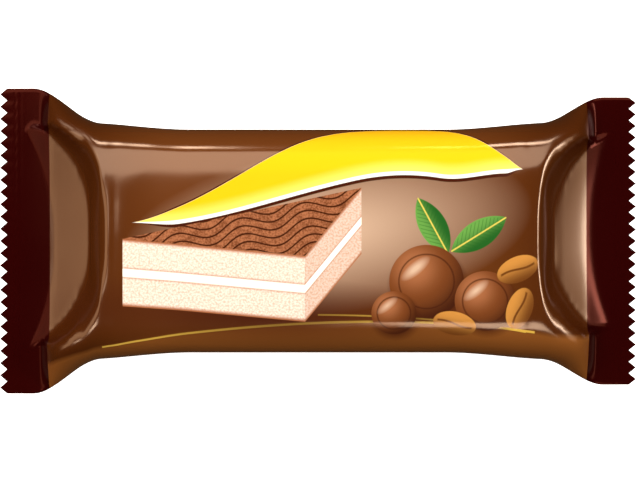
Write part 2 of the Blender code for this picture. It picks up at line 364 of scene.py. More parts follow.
def fit_to_pack(points):
    """Brings the height and each row's width to the pack's, and the bottom onto the table."""
    reach = np.abs(start_shape[..., :1])
    at_fold = smooth(reach, *FOLD_RISE) * (1 - smooth(reach, *FOLD_FALL))
    eased = mix(blurred(points, EASE_PASSES), blurred(points, FOLD_EASE_PASSES, lengthwise=0.0), at_fold)
    eased = mix(eased, points, mix(RIPPLE_KEPT, FOLD_RIPPLE_KEPT, at_fold))
    x, y, z = np.moveaxis(mix(eased, start_shape, held_still[..., None]), -1, 0)
    wanted = np.abs(start_shape[..., 1]).max(axis=1, keepdims=True)
    highest, lowest = y.max(axis=1, keepdims=True), y.min(axis=1, keepdims=True)
    y = (y - (highest + lowest) / 2) * 2 * wanted / (highest - lowest)
    rise = (PACK_HEIGHT - SEAL_HEIGHT) / (z.max() - SEAL_HEIGHT)
    z = SEAL_HEIGHT + (z - SEAL_HEIGHT) * np.where(z > SEAL_HEIGHT, rise, 1.0)
    above = z - BOTTOM_HEIGHT
    z = BOTTOM_HEIGHT + (above + np.sqrt(above**2 + BOTTOM_EASE**2)) / 2
    return np.stack([x, y, z], axis=-1)


fitted_film = fit_to_pack(settled_film)
print(f"fitted film: {fitted_film[..., 2].max() / MM:.1f} mm high")

# %% [markdown]
# The film is then sampled again, much finer, with a smooth curve through the fitted points. More
# points in the simulation would do too, but it would take far longer. The seals are flat, so they
# are taken from the loft itself.

# %% Sample the film finely
COLUMNS = 300
BODY_ROW_PITCH, SEAL_ROW_PITCH = 0.72 * MM, 0.34 * MM
SEAL_JOIN = 1 * MM
ROUNDING = 1e-9


def spline_weights(places):
    """Index and four weights of a cubic curve through evenly spaced points."""
    index = np.floor(places + ROUNDING).astype(int)
    t = places - index
    weights = np.stack([-t / 2 + t**2 - t**3 / 2, 1 - 2.5 * t**2 + 1.5 * t**3,
                        t / 2 + 2 * t**2 - 1.5 * t**3, -(t**2) / 2 + t**3 / 2])
    return index, weights


def sample_rows(points, places):
    index, weights = spline_weights(places)
    last = len(points) - 1
    return sum(weights[k][:, None, None] * points[np.clip(index + k - 1, 0, last)] for k in range(4))


def sample_columns(points, count):
    around = points.shape[1]
    index, weights = spline_weights(np.arange(count) * around / count)
    return sum(weights[k][None, :, None] * points[:, (index + k - 1) % around] for k in range(4))


def fine_rows():
    """Film rows: close together on the seals, wider on the body."""
    body = np.linspace(0, FILM_SEAL_START, round(FILM_SEAL_START / BODY_ROW_PITCH) + 1)
    seal = np.linspace(FILM_SEAL_START, FILM_HALF_LENGTH, round(SEAL_LENGTH / SEAL_ROW_PITCH) + 1)
    half = np.concatenate([body, seal[1:]])
    return np.concatenate([-half[:0:-1], half])


film_rows = fine_rows()
row_places = (film_rows + FILM_HALF_LENGTH) / (2 * FILM_HALF_LENGTH) * (SIM_ROWS - 1)
fine_film = sample_columns(sample_rows(fitted_film, row_places), COLUMNS)
fine_loft, _, _ = loft(film_rows, COLUMNS)
on_seal = smooth(np.abs(film_rows), FILM_SEAL_START - SEAL_JOIN, FILM_SEAL_START + SEAL_JOIN)
fine_film = mix(fine_film, fine_loft, on_seal[:, None, None])
print("film sampled to", len(film_rows), "rows of", COLUMNS)

# %% [markdown]
# The mesh is one closed skin. Its two ends are closed by joining the upper layer of each seal to
# the lower one, point for point. A UV map keeps each point's place on the flat film in metres:
# along the pack, and round it from the top middle. The print is drawn on that map.

# %% Build the wrapper's mesh
COLUMN_PITCH = GIRTH / COLUMNS


def close_end(first):
    """Faces that join a seal's upper edge to its lower edge, and each corner's place round."""
    quarter = COLUMNS // 4
    faces, places = [], []
    for i in range(COLUMNS // 2):
        above, below = (quarter - i, quarter - i - 1), (quarter + i + 1, quarter + i)
        corners = {}
        for column, beside in zip(above + below, above + above[::-1]):
            corners.setdefault(first + column % COLUMNS, beside * COLUMN_PITCH)
        faces.append(tuple(corners))
        places += corners.values()
    return faces, places


def face_outwards(mesh):
    shape = bmesh.new()
    shape.from_mesh(mesh)
    bmesh.ops.recalc_face_normals(shape, faces=shape.faces)
    shape.to_mesh(mesh)
    shape.free()


def build_wrapper():
    rows = len(film_rows)
    faces = grid_faces(rows, COLUMNS)
    column = np.arange(COLUMNS)
    this = np.where(column < COLUMNS // 2, column, column - COLUMNS) * COLUMN_PITCH
    around = np.tile(np.stack([this, this, this + COLUMN_PITCH, this + COLUMN_PITCH], -1).ravel(), rows - 1)
    for first in (0, (rows - 1) * COLUMNS):
        end_faces, end_places = close_end(first)
        faces += end_faces
        around = np.concatenate([around, end_places])
    made = add_object("wrapper_film", fine_film, faces)
    row_of_corner = np.concatenate([np.array(face) for face in faces]) // COLUMNS
    places = np.stack([plan_place(film_rows)[row_of_corner], around], axis=-1)
    film_place = made.data.uv_layers.new(name="film_place")
    film_place.data.foreach_set("uv", places.astype(np.float32).ravel())
    round_place = made.data.attributes.new("around", "FLOAT", "POINT")
    round_place.data.foreach_set("value", np.tile(column * COLUMN_PITCH, rows).astype(np.float32))
    face_outwards(made.data)
    return made


wrapper = build_wrapper()
print("wrapper:", len(wrapper.data.polygons), "faces")

# %% [markdown]
# Node trees for meshes and for materials are both mostly arithmetic. A small class makes that
# arithmetic readable: each number in a tree is a Reading, and adding or multiplying two Readings
# adds the Math node that does it. The alternative is to place and link every node by hand, which
# hides the formula.


# %% Arithmetic with nodes
class Reading:
    """One number inside a node tree."""

    def __init__(self, tree, socket):
        self.tree = tree
        self.socket = socket

    def math(self, operation, *others, clamp=False):
        node = self.tree.nodes.new("ShaderNodeMath")
        node.operation = operation
        node.use_clamp = clamp
        for slot, value in zip(node.inputs, (self,) + others):
            feed(self.tree, slot, value)
        return Reading(self.tree, node.outputs[0])

    def __add__(self, other):
        return self.math("ADD", other)

    def __sub__(self, other):
        return self.math("SUBTRACT", other)

    def __mul__(self, other):
        return self.math("MULTIPLY", other)

    def __truediv__(self, other):
        return self.math("DIVIDE", other)

    def __abs__(self):
        return self.math("ABSOLUTE")

    def __neg__(self):
        return self.math("MULTIPLY", -1.0)

    def most(self, other):
        return self.math("MAXIMUM", other)

    def share(self, low, high):
        """0 at low, 1 at high, with an easy curve between them."""
        node = self.tree.nodes.new("ShaderNodeMapRange")
        node.interpolation_type = "SMOOTHSTEP"
        feed(self.tree, node.inputs["Value"], self)
        feed(self.tree, node.inputs["From Min"], low)
        feed(self.tree, node.inputs["From Max"], high)
        return Reading(self.tree, node.outputs[0])


def feed(tree, slot, value):
    """Puts a plain value or a Reading into a node's input."""
    if isinstance(value, Reading):
        tree.links.new(value.socket, slot)
    else:
        slot.default_value = value


def length_of(u, v):
    return (u * u + v * v).math("SQRT")


print("arithmetic ready:", ", ".join(name for name in vars(Reading) if not name.startswith("_")))

# %% [markdown]
# The crimping jaws press fine ribs into both layers of a seal, and the knife cuts its edge to a
# zigzag. Both repeat by a rule, so Geometry Nodes make them: the tree lifts each point by a sine
# of its place on the seal, and pulls the points near the cut back in teeth that follow the film's
# own width. A Boolean cut would do too, but would leave long thin faces.

# %% Crimp and cut, as a node tree
CRIMP_NUMBERS = ["Rib Start", "Rib End", "Rib Pitch", "Rib Depth",
                 "Half Length", "Tooth Pitch", "Tooth Depth"]
TOOTH_FADE = 3


def start_tree(name, numbers):
    """A mesh node tree with one geometry input, the named numbers and a material."""
    tree = bpy.data.node_groups.new(name, "GeometryNodeTree")
    tree.interface.new_socket("Geometry", in_out="INPUT", socket_type="NodeSocketGeometry")
    for number in numbers:
        tree.interface.new_socket(number, in_out="INPUT", socket_type="NodeSocketFloat")
    tree.interface.new_socket("Material", in_out="INPUT", socket_type="NodeSocketMaterial")
    tree.interface.new_socket("Geometry", in_out="OUTPUT", socket_type="NodeSocketGeometry")
    given = tree.nodes.new("NodeGroupInput")
    return tree, given, [Reading(tree, given.outputs[number]) for number in numbers]


def end_tree(tree, given, moved):
    """Realize Instances, Set Material, and the output."""
    real = tree.nodes.new("GeometryNodeRealizeInstances")
    painted = tree.nodes.new("GeometryNodeSetMaterial")
    out = tree.nodes.new("NodeGroupOutput")
    tree.links.new(moved, real.inputs[0])
    tree.links.new(real.outputs[0], painted.inputs["Geometry"])
    tree.links.new(given.outputs["Material"], painted.inputs["Material"])
    tree.links.new(painted.outputs[0], out.inputs[0])


def crimp_tree():
    tree, given, values = start_tree("crimp_and_cut", CRIMP_NUMBERS)
    rib_start, rib_end, rib_pitch, rib_depth, half_length, tooth_pitch, tooth_depth = values
    place = tree.nodes.new("GeometryNodeInputPosition")
    split = tree.nodes.new("ShaderNodeSeparateXYZ")
    tree.links.new(place.outputs[0], split.inputs[0])
    x = Reading(tree, split.outputs[0])
    reach = abs(x)
    band = reach.share(rib_start, rib_start + rib_pitch / 2)
    band = band * (-reach).share(-rib_end, rib_pitch / 2 - rib_end)
    rib = ((reach - rib_start) / rib_pitch * math.tau).math("SINE") * rib_depth * band
    film = tree.nodes.new("GeometryNodeInputNamedAttribute")
    film.data_type = "FLOAT"
    film.inputs["Name"].default_value = "around"
    around = Reading(tree, film.outputs["Attribute"])
    notch = around.math("PINGPONG", tooth_pitch / 2) / (tooth_pitch / 2)
    near_cut = reach.share(half_length - tooth_depth * TOOTH_FADE, half_length)
    pull = -(x.math("SIGN")) * tooth_depth * notch * near_cut
    offset = tree.nodes.new("ShaderNodeCombineXYZ")
    feed(tree, offset.inputs["X"], pull)
    feed(tree, offset.inputs["Z"], rib)
    move = tree.nodes.new("GeometryNodeSetPosition")
    tree.links.new(given.outputs["Geometry"], move.inputs["Geometry"])
    tree.links.new(offset.outputs[0], move.inputs["Offset"])
    end_tree(tree, given, move.outputs[0])
    return tree


crimp = crimp_tree()
print("crimp tree:", len(crimp.nodes), "nodes")

# %% [markdown]
# A tree runs as a modifier. Its inputs are set before the object is first worked out, and the
# result is kept as a plain mesh, because the export takes plain meshes. The shading is smooth but
# for sharp folds, so that the cut edges stay crisp.

# %% Run the crimp tree on a piece
TEETH = 25
TOOTH_PITCH = 2 * FILM_HALF_WIDTH / TEETH
SHARP_ANGLE = math.radians(50)


def run_tree(obj, tree, values):
    """Runs a tree on obj with the named values, and keeps the result as a plain mesh."""
    modifier = obj.modifiers.new(tree.name, "NODES")
    modifier.node_group = tree
    for item in tree.interface.items_tree:
        if item.in_out == "INPUT" and item.name in values:
            modifier[item.identifier] = values[item.name]
    bpy.context.view_layer.update()
    graph = bpy.context.evaluated_depsgraph_get()
    made = bpy.data.meshes.new_from_object(obj.evaluated_get(graph), depsgraph=graph)
    obj.modifiers.clear()
    obj.data = made


def crimp_piece(piece, ribs, tooth_depth, material):
    """Ribs and cuts a piece. ribs are where they start and end, their pitch and their depth."""
    numbers = (*ribs, HALF_LENGTH, TOOTH_PITCH, tooth_depth)
    run_tree(piece, crimp, {**dict(zip(CRIMP_NUMBERS, numbers)), "Material": material})
    piece.data.shade_smooth()
    piece.data.set_sharp_from_angle(angle=SHARP_ANGLE)


print(f"teeth every {TOOTH_PITCH / MM:.2f} mm")

# %% [markdown]
# The print. On the real pack it is ink under a clear glossy layer, so it is colour only, with no
# relief. It is drawn in the shader, on the film's own map, in millimetres: each shape is a formula
# that is negative inside the shape, and ink fills where it is. An image could hold it too, but a
# formula stays sharp at any distance.

# %% Helpers for ink
INK_EDGE = 0.14


def srgb(red, green, blue):
    """A screen colour, 0 to 255 each, as the linear light that a shader takes."""
    def linear(value):
        value = value / 255
        return value / 12.92 if value <= 0.04045 else ((value + 0.055) / 1.055) ** 2.4

    return (linear(red), linear(green), linear(blue), 1.0)


def blend(tree, share, below, above):
    """A colour that goes from below to above by share."""
    node = tree.nodes.new("ShaderNodeMix")
    node.data_type = "RGBA"
    feed(tree, node.inputs["Factor"], share)
    for slot, colour in ((node.inputs[6], below), (node.inputs[7], above)):
        if isinstance(colour, tuple):
            slot.default_value = colour
        else:
            tree.links.new(colour, slot)
    return node.outputs[2]


def ink(tree, below, shape, colour, edge=INK_EDGE, strength=1.0):
    """Prints colour over below where shape is negative, with an edge of that softness."""
    cover = ((-shape) / edge + 0.5).math("MULTIPLY", strength, clamp=True)
    return blend(tree, cover, below, colour)


def noise(tree, coordinate, scale, detail=2.0):
    node = tree.nodes.new("ShaderNodeTexNoise")
    node.inputs["Scale"].default_value = scale
    node.inputs["Detail"].default_value = detail
    tree.links.new(coordinate, node.inputs["Vector"])
    return Reading(tree, node.outputs[0])


print(f"inks meet over {INK_EDGE} mm")


# %% Helpers for printed shapes
def turned(x, y, at, degrees=0.0):
    """x and y measured from a point, along axes turned by so many degrees."""
    c, s = math.cos(math.radians(degrees)), math.sin(math.radians(degrees))
    u, v = x - at[0], y - at[1]
    return u * c + v * s, v * c - u * s


def disc(u, v, radius):
    return length_of(u, v) - radius


def oval(u, v, half_length, half_width):
    return (length_of(u / half_length, v / half_width) - 1.0) * half_width


def leaf_shape(u, v, length, width):
    """Two arcs that meet in a point at each end."""
    radius = (length**2 + width**2) / (4 * width)
    sag = radius - width / 2
    return disc(u, abs(v) + sag, radius)


def many_sided(x, y, corners):
    """A convex shape with these corners, named against the clock."""
    shape = None
    for (ax, ay), (bx, by) in zip(corners, corners[1:] + corners[:1]):
        span = math.hypot(bx - ax, by - ay)
        nx, ny = (by - ay) / span, (ax - bx) / span
        edge = x * nx + y * ny - (ax * nx + ay * ny)
        shape = edge if shape is None else shape.most(edge)
    return shape


print("printed shapes ready:", ", ".join(f.__name__ for f in (disc, oval, leaf_shape, many_sided)))

# %% [markdown]
# The design on the film. A brown ground with a paler glow carries a broad yellow sweep with a
# cream edge, a wedge of layered cake, chocolate buttons, cocoa beans and two leaves, and thin gold
# lines close the foot. The seals are printed solid, in a much darker brown. The studio's light and
# the film's gloss brighten the print, so most inks are a little darker than they look on the pack.

# %% The colours of the inks
GROUND, GROUND_DARK, GROUND_FOOT = srgb(93, 49, 18), srgb(66, 28, 4), srgb(126, 74, 30)
GLOW = srgb(196, 166, 140)
YELLOW, YELLOW_PALE = srgb(238, 182, 20), srgb(248, 214, 96)
CREAM = srgb(255, 250, 238)
DARK_LINE = srgb(60, 22, 10)
SEAL_INK = srgb(36, 2, 2)
SPONGE, SPONGE_DARK = srgb(234, 220, 206), srgb(212, 178, 156)
CAKE_TOP, CAKE_TOP_DARK = srgb(160, 100, 66), srgb(112, 62, 36)
CHOCOLATE, CHOCOLATE_DARK = srgb(108, 58, 26), srgb(58, 24, 10)
CHOCOLATE_LIGHT = srgb(156, 98, 62)
BEAN, BEAN_DARK = srgb(186, 128, 58), srgb(100, 56, 20)
LEAF, LEAF_DARK = srgb(94, 148, 66), srgb(28, 88, 30)
GOLD = srgb(206, 168, 70)
print("linear light of the brown ground:", [round(part, 3) for part in GROUND[:3]])

# %% [markdown]
# The ground comes first, as on a printing press, where each ink goes over the one before. It
# darkens towards both ends. The glow is an oval with a very wide edge, and a long low arc divides
# the paler foot from the rest.

# %% Ground, glow and foot
DARKENS_FROM, DARKENS_TO = 30.0, 60.0
GLOW_PLACE, GLOW_TURN = (2.0, 2.0), 8.0
GLOW_HALF_LENGTH, GLOW_HALF_WIDTH, GLOW_EDGE = 27.0, 11.0, 17.0
ARC_MIDDLE, ARC_HALF_SPAN, ARC_DROP, ARC_BOW = 14.0, 60.0, 19.0, 5.5


def print_ground(tree, x, y):
    ends = abs(x).share(DARKENS_FROM, DARKENS_TO)
    paint = blend(tree, ends, GROUND, GROUND_DARK)
    glow = oval(*turned(x, y, GLOW_PLACE, GLOW_TURN), GLOW_HALF_LENGTH, GLOW_HALF_WIDTH)
    paint = ink(tree, paint, glow, GLOW, edge=GLOW_EDGE, strength=0.85)
    return ink(tree, paint, foot_line(x, y), GROUND_FOOT, edge=1.5)


def foot_line(x, y):
    """Negative below a long low arc along the lower shoulder."""
    bow = (x - ARC_MIDDLE) / ARC_HALF_SPAN
    return y + ARC_DROP + bow * bow * ARC_BOW


print(f"glow {2 * GLOW_HALF_LENGTH:.0f} mm long, with an edge of {GLOW_EDGE:.0f} mm")

# %% [markdown]
# The sweep is a band that follows a sine, and thins to nothing at both ends. Wider bands of dark
# and of cream lie under it and show as its edges. The gold lines are thin bands along the foot.

# %% Sweep and gold lines
SWEEP_END, SWEEP_HALF_WIDTH = 50.0, 6.6
SWEEP_SWELL, SWEEP_TAPER = 58.0, 22.0
SWEEP_LOW, SWEEP_RISE, SWEEP_SHIFT, SWEEP_SPAN = 13.5, 9.5, 14.0, 68.0
THIN_SWEEP, THIN_FADE = 1.5, 0.4
CREAM_EDGE, DARK_EDGE, UPPER_DARK_EDGE, PALE_EDGE = 0.9, 1.7, 0.4, 3.5
GOLD_HALF_WIDTH, THIN_GOLD_HALF_WIDTH = 0.28, 0.18
GOLD_END, THIN_GOLD_MIDDLE, THIN_GOLD_REACH = 50.0, 24.0, 24.0
THIN_GOLD_RISE, THIN_GOLD_SHIFT, THIN_GOLD_RUN = 2.3, 8.0, 22.0


def sweep_line(x, y):
    """Distance above the middle of the yellow sweep, which rises from left to right."""
    return y - SWEEP_LOW - ((x + SWEEP_SHIFT) / SWEEP_SPAN * math.pi).math("SINE") * SWEEP_RISE


def print_sweep(tree, paint, x, y):
    rise = sweep_line(x, y)
    swell = (x + SWEEP_END).share(0.0, SWEEP_SWELL)
    half = swell * (-(x - SWEEP_END)).share(0.0, SWEEP_TAPER) * SWEEP_HALF_WIDTH
    edge = half.share(0.0, THIN_SWEEP)
    fading = (-edge + 1.0) * THIN_FADE
    lower = -rise - half + fading
    upper = rise - half + fading
    dark = (lower - edge * DARK_EDGE).most(upper - edge * UPPER_DARK_EDGE)
    paint = ink(tree, paint, dark, DARK_LINE)
    paint = ink(tree, paint, (lower - edge * CREAM_EDGE).most(upper), CREAM)
    yellow = blend(tree, (-lower).share(0.0, PALE_EDGE), YELLOW_PALE, YELLOW)
    return ink(tree, paint, lower.most(upper), yellow)


def print_gold(tree, paint, x, y):
    foot = foot_line(x, y)
    paint = ink(tree, paint, (abs(foot) - GOLD_HALF_WIDTH).most(abs(x) - GOLD_END), GOLD)
    thin = abs(foot - THIN_GOLD_RISE + (x + THIN_GOLD_SHIFT) / THIN_GOLD_RUN) - THIN_GOLD_HALF_WIDTH
    return ink(tree, paint, thin.most(abs(x - THIN_GOLD_MIDDLE) - THIN_GOLD_REACH), GOLD)


print(f"sweep {2 * SWEEP_END:.0f} mm long and up to {2 * SWEEP_HALF_WIDTH:.1f} mm wide")

# %% [markdown]
# The wedge of cake is three flat shapes: the cut side, the rim behind it and the top. The sides
# share one formula for their layers, which takes the depth below the wedge's upper edge. Two
# noises give the sponge its crumb and the top its patches, as plain colour would look like card.

# %% The cake wedge
WEDGE_TIP, WEDGE_FRONT, WEDGE_BACK = (-45.0, 0.5), (-3.0, -3.5), (10.0, 12.5)
WEDGE_DEPTH = 15.5
CRUMB_SCALE, PATCH_SCALE, CRUMB_SHARE = 2200.0, 420.0, 0.6
SHADE_PLACE, SHADE_TURN, SHADE_HALF_SIZE = (-14.0, -17.0), -3.0, (34.0, 6.0)
RIM_BROWNING = 0.35
FILLING_HALF_DEPTH, BROWNED_HALF_DEPTH, CRUST_PLACE = 0.06, 0.085, 0.46
DRIZZLE_PLACE, DRIZZLE_TURN, DRIZZLE_PITCH, DRIZZLE_HALF_WIDTH = (-14.0, 4.0), 14.0, 1.9, 0.22
DRIZZLE_WAVE, DRIZZLE_WAVE_RATE = 1.3, 0.42


def below_edge(x, y, start, end):
    """Depth below the line through two corners, as a share of the wedge's depth."""
    slope = (end[1] - start[1]) / (end[0] - start[0])
    return ((x - start[0]) * slope + start[1] - y) / WEDGE_DEPTH


def layered(tree, sponge, depth):
    """Sponge with a browned top, a cream filling and a browned foot. depth is 0 to 1."""
    from_middle = abs(depth - 0.5)
    paint = ink(tree, sponge, from_middle - BROWNED_HALF_DEPTH, CAKE_TOP, edge=0.03, strength=0.6)
    paint = ink(tree, paint, from_middle - FILLING_HALF_DEPTH, CREAM, edge=0.02)
    return ink(tree, paint, -(from_middle - CRUST_PLACE), CAKE_TOP, edge=0.04, strength=0.85)


def print_drizzle(tree, paint, x, y):
    """Thin wavy lines of chocolate across the wedge's top."""
    u, v = turned(x, y, DRIZZLE_PLACE, DRIZZLE_TURN)
    wave = (u * DRIZZLE_WAVE_RATE).math("SINE") * DRIZZLE_WAVE
    lines = abs((v + wave).math("PINGPONG", DRIZZLE_PITCH) - DRIZZLE_PITCH / 2) - DRIZZLE_HALF_WIDTH
    return ink(tree, paint, lines, CHOCOLATE_DARK, strength=0.8)


def print_wedge(tree, paint, x, y, coordinate):
    tip, front, back = WEDGE_TIP, WEDGE_FRONT, WEDGE_BACK
    low_tip, low_front, low_back = [(px, py - WEDGE_DEPTH) for px, py in (tip, front, back)]
    crumb = noise(tree, coordinate, CRUMB_SCALE)
    patches = noise(tree, coordinate, PATCH_SCALE)
    shade = oval(*turned(x, y, SHADE_PLACE, SHADE_TURN), *SHADE_HALF_SIZE)
    paint = ink(tree, paint, shade, DARK_LINE, edge=7.0, strength=0.75)
    sponge = blend(tree, crumb.share(0.30, 0.66), SPONGE_DARK, SPONGE)
    cut = layered(tree, sponge, below_edge(x, y, tip, front))
    paint = ink(tree, paint, many_sided(x, y, [tip, low_tip, low_front, front]), cut)
    browned = blend(tree, RIM_BROWNING, sponge, CAKE_TOP)
    rim = layered(tree, browned, below_edge(x, y, front, back))
    paint = ink(tree, paint, many_sided(x, y, [front, low_front, low_back, back]), rim)
    mottle = (crumb * CRUMB_SHARE + patches * (1 - CRUMB_SHARE)).share(0.36, 0.62)
    top = print_drizzle(tree, blend(tree, mottle, CAKE_TOP_DARK, CAKE_TOP), x, y)
    return ink(tree, paint, many_sided(x, y, [tip, front, back]), top)


print(f"wedge {WEDGE_BACK[0] - WEDGE_TIP[0]:.0f} mm long and {WEDGE_DEPTH} mm deep")

# %% [markdown]
# The smaller motifs are one function each, and a list says where each copy lies. A button is a
# domed disc with a groove and a gleam, a bean is an oval with a wavy groove, and a leaf is two
# arcs with veins. All of it is ink, so each dome is only a change of colour.

# %% Chocolate buttons
BUTTONS = [((25.0, -9.5), 8.6), ((38.5, -14.0), 7.0), ((17.5, -17.0), 5.2)]
BUTTON_TURN = 40.0
BUTTON_SHADE = (0.4, 1.1)
DOME_RISE, DOME_SPAN = 0.5, 1.5
RING_RADIUS, RING_HALF_WIDTH = 0.74, 0.16
GLEAM_RISE, GLEAM_HALF_LENGTH, GLEAM_HALF_WIDTH = 0.46, 0.36, 0.13


def print_button(tree, paint, x, y, at, radius):
    u, v = turned(x, y, at, BUTTON_TURN)
    shade = disc(u + BUTTON_SHADE[0], v + BUTTON_SHADE[1], radius)
    paint = ink(tree, paint, shade, DARK_LINE, edge=2.0, strength=0.7)
    dome = length_of(u, v - radius * DOME_RISE) / (radius * DOME_SPAN)
    face = blend(tree, dome.share(0.05, 0.6), CHOCOLATE_LIGHT, CHOCOLATE)
    face = blend(tree, dome.share(0.5, 1.0), face, CHOCOLATE_DARK)
    paint = ink(tree, paint, disc(u, v, radius), face)
    ring = abs(disc(u, v, radius * RING_RADIUS)) - RING_HALF_WIDTH
    paint = ink(tree, paint, ring, CHOCOLATE_DARK, edge=0.3, strength=0.8)
    gleam = oval(u, v - radius * GLEAM_RISE, radius * GLEAM_HALF_LENGTH, radius * GLEAM_HALF_WIDTH)
    return ink(tree, paint, gleam, GLOW, edge=0.9, strength=0.75)


print("buttons:", len(BUTTONS))

# %% Cocoa beans and leaves
BEANS = [((46.0, -6.5), 24.0), ((31.5, -19.5), -12.0), ((46.5, -15.5), 70.0)]
BEAN_HALF_LENGTH, BEAN_HALF_WIDTH = 5.0, 2.9
GROOVE_WAVE, GROOVE_WAVE_RATE, GROOVE_HALF_WIDTH, GROOVE_MARGIN = 0.35, 0.62, 0.24, 0.5
LEAVES = [((37.0, 1.5), 32.0), ((26.5, 3.5), 118.0)]
LEAF_LENGTH, LEAF_WIDTH, LEAF_SHADING = 15.0, 6.4, 2.4
VEIN_SLOPE, VEIN_PITCH, VEIN_HALF_WIDTH, VEIN_MARGIN = 0.9, 1.1, 0.12, 0.4
MIDRIB_HALF_WIDTH = 0.16


def print_bean(tree, paint, x, y, at, degrees):
    u, v = turned(x, y, at, degrees)
    body = oval(u, v, BEAN_HALF_LENGTH, BEAN_HALF_WIDTH)
    brown = blend(tree, (v / BEAN_HALF_WIDTH).share(-1.0, 0.8), BEAN_DARK, BEAN)
    paint = ink(tree, paint, body, brown)
    groove = abs(v + (u * GROOVE_WAVE_RATE).math("SINE") * GROOVE_WAVE) - GROOVE_HALF_WIDTH
    return ink(tree, paint, groove.most(body + GROOVE_MARGIN), BEAN_DARK, edge=0.2)


def print_leaf(tree, paint, x, y, at, degrees):
    u, v = turned(x, y, at, degrees)
    blade = leaf_shape(u, v, LEAF_LENGTH, LEAF_WIDTH)
    green = blend(tree, v.share(-LEAF_SHADING, LEAF_SHADING), LEAF_DARK, LEAF)
    paint = ink(tree, paint, blade, green)
    veins = (u - abs(v) * VEIN_SLOPE).math("PINGPONG", VEIN_PITCH) - VEIN_PITCH / 2
    veins = (abs(veins) - VEIN_HALF_WIDTH).most(blade + VEIN_MARGIN)
    paint = ink(tree, paint, veins, LEAF_DARK, edge=0.3, strength=0.55)
    midrib = (abs(v) - MIDRIB_HALF_WIDTH).most(blade)
    return ink(tree, paint, midrib, YELLOW_PALE, edge=0.2, strength=0.6)


def print_motifs(tree, paint, x, y):
    for motifs, print_one in ((LEAVES, print_leaf), (BUTTONS, print_button), (BEANS, print_bean)):
        for at, turn_or_radius in motifs:
            paint = print_one(tree, paint, x, y, at, turn_or_radius)
    return paint


print("beans:", len(BEANS), "and leaves:", len(LEAVES))

# %% [markdown]
# The whole print, from the ground up. The front's design ends where the film turns under the pack,
# and the back is plain brown. The seals' ink goes on last, over everything.

# %% The whole print
FRONT_EDGE = 0.3


def print_design(tree):
    """The print's colour, and where the seals' ink lies: 0 off them and 1 on them."""
    film_map = tree.nodes.new("ShaderNodeUVMap")
    film_map.uv_map = "film_place"
    split = tree.nodes.new("ShaderNodeSeparateXYZ")
    tree.links.new(film_map.outputs[0], split.inputs[0])
    x, y = [Reading(tree, split.outputs[i]) * (1 / MM) for i in (0, 1)]
    paint = print_ground(tree, x, y)
    paint = print_sweep(tree, paint, x, y)
    paint = print_gold(tree, paint, x, y)
    paint = print_wedge(tree, paint, x, y, film_map.outputs[0])
    paint = print_motifs(tree, paint, x, y)
    front = abs(y) - GIRTH / 4 / MM
    paint = ink(tree, blend(tree, 0.5, GROUND_DARK, GROUND), front, paint, edge=FRONT_EDGE)
    past_line = abs(x) - SEAL_START / MM
    return ink(tree, paint, -past_line, SEAL_INK), (past_line / INK_EDGE + 0.5).share(0.0, 1.0)


print(f"seal ink starts {SEAL_START / MM:.1f} mm from the middle")

# %% [markdown]
# The film itself: coloured ink under clear plastic. It is a smooth dielectric with a slight haze,
# so its highlights are bright and only a little soft, and a fine unevenness breaks their edges. The
# haze varies over the pack, as handled film does, and the film is duller just before the seals,
# where the sealing jaws have warmed it. The gleam is tinted. Over brown ink it is warm, and dark red
# on the seals. Over light ink it takes the ink's own colour, dimmed, and so doesn't bleach it.

# %% The film's finish
FILM_IOR, FILM_SPECULAR = 1.5, 0.8
FILM_ROUGHNESS, HAZE_SPREAD, HAZE_SCALE = 0.12, 0.04, 60.0
WAVINESS_SCALE, WAVINESS_DEPTH, WAVINESS_STRENGTH = 130.0, 0.05 * MM, 0.5
HEATED_PLACE, HEATED_REACH, HEATED_ROUGHNESS = 60.0 * MM, 12.0 * MM, 0.11
BROWN_GLEAM, RED_GLEAM, BLACK = (1.0, 0.71, 0.51, 1.0), (0.24, 0.055, 0.032, 1.0), (0.0, 0.0, 0.0, 1.0)
DARK_INK_VALUE, LIGHT_INK_VALUE, LIGHT_INK_MUTING = 0.02, 0.40, 0.65
PLAIN_SCALE = 40.0
NOISE_LOW, NOISE_HIGH = 0.3, 0.7


def film_roughness(tree, where):
    """Slight patches of haze, and a duller band before each seal."""
    haze = noise(tree, where, HAZE_SCALE).share(NOISE_LOW, NOISE_HIGH) * HAZE_SPREAD
    place = tree.nodes.new("ShaderNodeSeparateXYZ")
    tree.links.new(where, place.inputs[0])
    from_heat = abs(abs(Reading(tree, place.outputs["X"])) - HEATED_PLACE)
    heated = (-from_heat).share(-HEATED_REACH, -HEATED_REACH / 4) * HEATED_ROUGHNESS
    return haze + (FILM_ROUGHNESS - HAZE_SPREAD / 2) + heated


def film_waviness(tree, where):
    bump = tree.nodes.new("ShaderNodeBump")
    bump.inputs["Distance"].default_value = WAVINESS_DEPTH
    bump.inputs["Strength"].default_value = WAVINESS_STRENGTH
    feed(tree, bump.inputs["Height"], noise(tree, where, WAVINESS_SCALE, 1.0))
    return bump.outputs[0]


def film_gleam(tree, paint, on_seal_print):
    value = tree.nodes.new("ShaderNodeRGBToBW")
    tree.links.new(paint, value.inputs[0])
    light = Reading(tree, value.outputs[0]).share(DARK_INK_VALUE, LIGHT_INK_VALUE)
    tint = blend(tree, light, BROWN_GLEAM, blend(tree, LIGHT_INK_MUTING, paint, BLACK))
    return blend(tree, on_seal_print, tint, RED_GLEAM)


